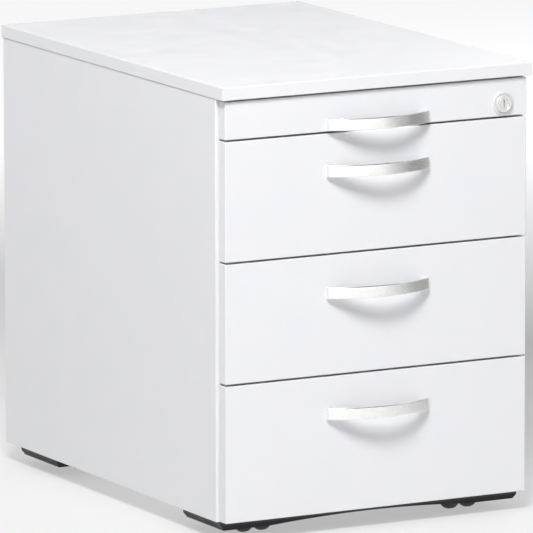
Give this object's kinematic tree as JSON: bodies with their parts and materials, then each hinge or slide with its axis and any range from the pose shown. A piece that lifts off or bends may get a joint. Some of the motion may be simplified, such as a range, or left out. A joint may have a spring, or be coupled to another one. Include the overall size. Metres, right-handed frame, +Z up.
{
  "type": "rolling pedestal cabinet",
  "caption": "White board pedestal on hidden twin-wheel casters, with a slim pencil drawer above three deep drawers, bow handles and a central lock.",
  "frame": {"origin": "centre of the overall footprint, handles included, on the floor", "axes": "+Z up; the drawer fronts face -Y; +X is to the right of a person standing in front"},
  "size_m": [0.43, 0.613, 0.561],
  "materials": {
    "white_board": "white melamine-faced chipboard with matching edging, fine pearl texture",
    "black_plastic": "moulded, finely grained",
    "tray_plastic": "moulded, satin",
    "satin_silver": "satin silver, finely brushed along its length",
    "nickel": "satin nickel plate",
    "caster_plastic": "moulded, satin",
    "wheel_plastic": "soft black tread, dull",
    "drawer_steel": "silver-grey powder coat",
    "zinc_steel": "zinc-plated"
  },
  "bodies": {
    "cabinet": {"top_panel": "white_board", "left_side_panel": "white_board", "right_side_panel": "white_board", "back_panel": "white_board", "bottom_panel": "white_board", "front_base_bar": "black_plastic", "rear_base_bar": "black_plastic", "carcass_fasteners": "zinc_steel", "cabinet_slide_members": "zinc_steel", "lock_bar_guides": "tray_plastic"},
    "drawer_1": {"drawer_1_front": "white_board", "drawer_1_handle": "satin_silver", "drawer_1_screws": "zinc_steel", "pencil_tray": "tray_plastic", "drawer_1_slide_members": "zinc_steel", "lock_housing": "nickel"},
    "drawer_2": {"drawer_2_front": "white_board", "drawer_2_handle": "satin_silver", "drawer_2_screws": "zinc_steel", "drawer_2_sides": "drawer_steel", "drawer_2_bottom": "drawer_steel", "drawer_2_back": "drawer_steel", "drawer_2_slide_members": "zinc_steel"},
    "drawer_3": {"drawer_3_front": "white_board", "drawer_3_handle": "satin_silver", "drawer_3_screws": "zinc_steel", "drawer_3_sides": "drawer_steel", "drawer_3_bottom": "drawer_steel", "drawer_3_back": "drawer_steel", "drawer_3_slide_members": "zinc_steel"},
    "drawer_4": {"drawer_4_front": "white_board", "drawer_4_handle": "satin_silver", "drawer_4_screws": "zinc_steel", "drawer_4_sides": "drawer_steel", "drawer_4_bottom": "drawer_steel", "drawer_4_back": "drawer_steel", "drawer_4_slide_members": "zinc_steel"},
    "middle_1": {"middle_slides_1": "zinc_steel"},
    "middle_2": {"middle_slides_2": "zinc_steel"},
    "middle_3": {"middle_slides_3": "zinc_steel"},
    "middle_4": {"middle_slides_4": "zinc_steel"},
    "lock": {"lock_cylinder": "nickel", "lock_cam": "zinc_steel"},
    "lock_bar": {"locking_bar": "zinc_steel"},
    "front_left_swivel": {"front_left_caster": "caster_plastic", "front_left_axle": "zinc_steel"},
    "front_left_outer_wheel": {"front_left_outer_wheel": "wheel_plastic"},
    "front_left_inner_wheel": {"front_left_inner_wheel": "wheel_plastic"},
    "front_right_swivel": {"front_right_caster": "caster_plastic", "front_right_axle": "zinc_steel"},
    "front_right_outer_wheel": {"front_right_outer_wheel": "wheel_plastic"},
    "front_right_inner_wheel": {"front_right_inner_wheel": "wheel_plastic"},
    "rear_left_swivel": {"rear_left_caster": "caster_plastic", "rear_left_axle": "zinc_steel"},
    "rear_left_outer_wheel": {"rear_left_outer_wheel": "wheel_plastic"},
    "rear_left_inner_wheel": {"rear_left_inner_wheel": "wheel_plastic"},
    "rear_right_swivel": {"rear_right_caster": "caster_plastic", "rear_right_axle": "zinc_steel"},
    "rear_right_outer_wheel": {"rear_right_outer_wheel": "wheel_plastic"},
    "rear_right_inner_wheel": {"rear_right_inner_wheel": "wheel_plastic"}
  },
  "joints": [
    {"name": "drawer_1_slide", "type": "slide", "parent": "cabinet", "child": "drawer_1", "axis": [0, -1, 0], "range_m": [0, 0.3]},
    {"name": "drawer_2_slide", "type": "slide", "parent": "cabinet", "child": "drawer_2", "axis": [0, -1, 0], "range_m": [0, 0.44]},
    {"name": "drawer_3_slide", "type": "slide", "parent": "cabinet", "child": "drawer_3", "axis": [0, -1, 0], "range_m": [0, 0.44]},
    {"name": "drawer_4_slide", "type": "slide", "parent": "cabinet", "child": "drawer_4", "axis": [0, -1, 0], "range_m": [0, 0.44]},
    {"name": "middle_1_slide", "type": "slide", "parent": "cabinet", "child": "middle_1", "axis": [0, -1, 0], "range_m": [0, 0.15]},
    {"name": "middle_2_slide", "type": "slide", "parent": "cabinet", "child": "middle_2", "axis": [0, -1, 0], "range_m": [0, 0.22]},
    {"name": "middle_3_slide", "type": "slide", "parent": "cabinet", "child": "middle_3", "axis": [0, -1, 0], "range_m": [0, 0.22]},
    {"name": "middle_4_slide", "type": "slide", "parent": "cabinet", "child": "middle_4", "axis": [0, -1, 0], "range_m": [0, 0.22]},
    {"name": "lock_turn", "type": "hinge", "parent": "drawer_1", "child": "lock", "pos_m": [0.176, -0.2835, 0.5122], "axis": [0, -1, 0], "range_deg": [0, 90]},
    {"name": "lock_bar_lift", "type": "slide", "parent": "cabinet", "child": "lock_bar", "axis": [0, 0, 1], "range_m": [0, 0.008]},
    {"name": "front_left_swivel", "type": "hinge", "parent": "cabinet", "child": "front_left_swivel", "pos_m": [-0.145, -0.2171, 0.041], "axis": [0, 0, 1], "continuous": true},
    {"name": "front_left_outer_wheel_spin", "type": "hinge", "parent": "front_left_swivel", "child": "front_left_outer_wheel", "pos_m": [-0.1576, -0.2291, 0.018], "axis": [1, 0, 0], "continuous": true},
    {"name": "front_left_inner_wheel_spin", "type": "hinge", "parent": "front_left_swivel", "child": "front_left_inner_wheel", "pos_m": [-0.1324, -0.2291, 0.018], "axis": [1, 0, 0], "continuous": true},
    {"name": "front_right_swivel", "type": "hinge", "parent": "cabinet", "child": "front_right_swivel", "pos_m": [0.145, -0.2171, 0.041], "axis": [0, 0, 1], "continuous": true},
    {"name": "front_right_outer_wheel_spin", "type": "hinge", "parent": "front_right_swivel", "child": "front_right_outer_wheel", "pos_m": [0.1576, -0.2291, 0.018], "axis": [1, 0, 0], "continuous": true},
    {"name": "front_right_inner_wheel_spin", "type": "hinge", "parent": "front_right_swivel", "child": "front_right_inner_wheel", "pos_m": [0.1324, -0.2291, 0.018], "axis": [1, 0, 0], "continuous": true},
    {"name": "rear_left_swivel", "type": "hinge", "parent": "cabinet", "child": "rear_left_swivel", "pos_m": [-0.145, 0.2235, 0.041], "axis": [0, 0, 1], "continuous": true},
    {"name": "rear_left_outer_wheel_spin", "type": "hinge", "parent": "rear_left_swivel", "child": "rear_left_outer_wheel", "pos_m": [-0.1576, 0.2115, 0.018], "axis": [1, 0, 0], "continuous": true},
    {"name": "rear_left_inner_wheel_spin", "type": "hinge", "parent": "rear_left_swivel", "child": "rear_left_inner_wheel", "pos_m": [-0.1324, 0.2115, 0.018], "axis": [1, 0, 0], "continuous": true},
    {"name": "rear_right_swivel", "type": "hinge", "parent": "cabinet", "child": "rear_right_swivel", "pos_m": [0.145, 0.2235, 0.041], "axis": [0, 0, 1], "continuous": true},
    {"name": "rear_right_outer_wheel_spin", "type": "hinge", "parent": "rear_right_swivel", "child": "rear_right_outer_wheel", "pos_m": [0.1576, 0.2115, 0.018], "axis": [1, 0, 0], "continuous": true},
    {"name": "rear_right_inner_wheel_spin", "type": "hinge", "parent": "rear_right_swivel", "child": "rear_right_inner_wheel", "pos_m": [0.1324, 0.2115, 0.018], "axis": [1, 0, 0], "continuous": true}
  ],
  "couplings": [
    {"joint": "middle_1_slide", "follows": "drawer_1_slide", "ratio": 0.5},
    {"joint": "middle_2_slide", "follows": "drawer_2_slide", "ratio": 0.5},
    {"joint": "middle_3_slide", "follows": "drawer_3_slide", "ratio": 0.5},
    {"joint": "middle_4_slide", "follows": "drawer_4_slide", "ratio": 0.5},
    {"joint": "lock_turn", "follows": "lock_bar_lift", "rad_per_m": 196}
  ]
}
